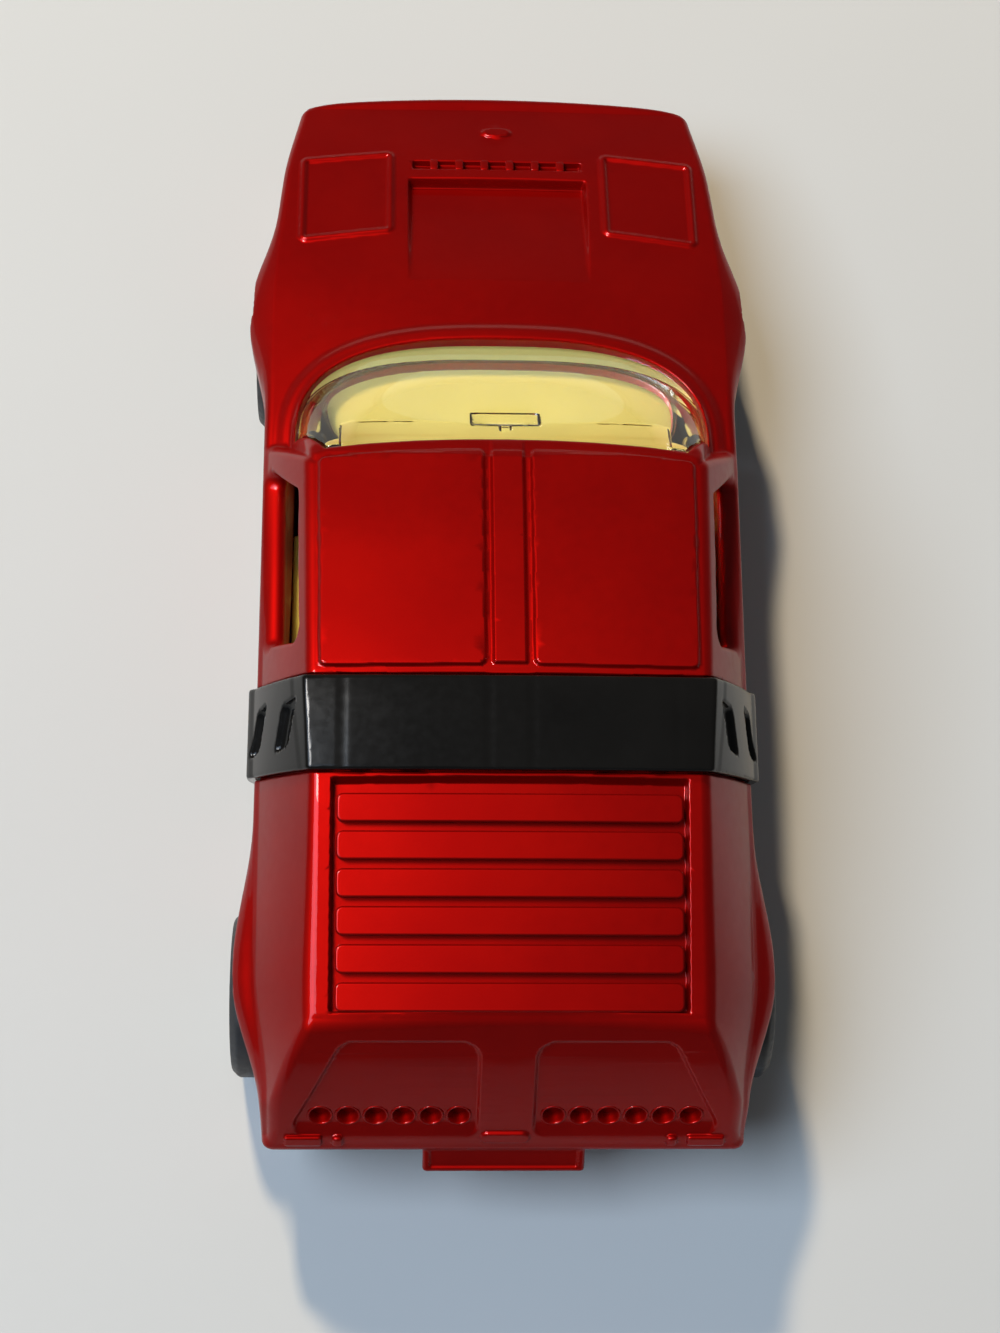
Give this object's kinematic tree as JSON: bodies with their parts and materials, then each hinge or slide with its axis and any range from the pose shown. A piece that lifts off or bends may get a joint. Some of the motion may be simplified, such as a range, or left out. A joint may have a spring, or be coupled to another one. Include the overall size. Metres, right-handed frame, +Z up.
{
  "type": "die-cast toy car",
  "caption": "Die-cast toy coupe with a wedge bonnet, clear windscreen, open side windows, roof band, louvred rear deck, sloping tail and free-rolling wheels on sprung axles.",
  "frame": {"origin": "on the ground under the middle of the car's bounding box", "axes": "+Y towards the nose, +X towards the car's right side, +Z up"},
  "size_m": [0.034, 0.076, 0.0217],
  "materials": {
    "body_paint": "candy red metallic enamel over cast zinc, gloss",
    "bare_casting": "bare cast zinc, satin",
    "clear_plastic": "clear moulded plastic, gloss",
    "cream_plastic": "cream moulded plastic, satin",
    "black_plastic": "black moulded plastic, gloss",
    "steel_wire": "plated steel wire",
    "spring_steel": "spring steel strip",
    "wheel_plastic": "black moulded plastic, satin"
  },
  "bodies": {
    "chassis": {"body_shell": "body_paint", "base_plate": "bare_casting", "windscreen": "clear_plastic", "cabin_interior": "cream_plastic", "roof_band": "black_plastic", "front_axle_spring": "spring_steel", "rear_axle_spring": "spring_steel"},
    "front_axle": {"front_axle": "steel_wire"},
    "rear_axle": {"rear_axle": "steel_wire"},
    "wheel_front_left": {"wheel_front_left": "wheel_plastic"},
    "wheel_front_right": {"wheel_front_right": "wheel_plastic"},
    "wheel_rear_left": {"wheel_rear_left": "wheel_plastic"},
    "wheel_rear_right": {"wheel_rear_right": "wheel_plastic"}
  },
  "joints": [
    {"name": "front_axle_bounce", "type": "slide", "parent": "chassis", "child": "front_axle", "axis": [0, 0, 1], "range_m": [0, 0.0005], "stiffness_N_per_m": 800, "springref_m": -0.0006, "deforming": ["front_axle_spring"]},
    {"name": "rear_axle_bounce", "type": "slide", "parent": "chassis", "child": "rear_axle", "axis": [0, 0, 1], "range_m": [0, 0.0005], "stiffness_N_per_m": 800, "springref_m": -0.0006, "deforming": ["rear_axle_spring"]},
    {"name": "wheel_front_left_spin", "type": "hinge", "parent": "front_axle", "child": "wheel_front_left", "pos_m": [-0.0147, 0.019, 0.0052], "axis": [1, 0, 0], "continuous": true},
    {"name": "wheel_front_right_spin", "type": "hinge", "parent": "front_axle", "child": "wheel_front_right", "pos_m": [0.0147, 0.019, 0.0052], "axis": [1, 0, 0], "continuous": true},
    {"name": "wheel_rear_left_spin", "type": "hinge", "parent": "rear_axle", "child": "wheel_rear_left", "pos_m": [-0.0152, -0.0265, 0.0052], "axis": [1, 0, 0], "continuous": true},
    {"name": "wheel_rear_right_spin", "type": "hinge", "parent": "rear_axle", "child": "wheel_rear_right", "pos_m": [0.0152, -0.0265, 0.0052], "axis": [1, 0, 0], "continuous": true}
  ]
}
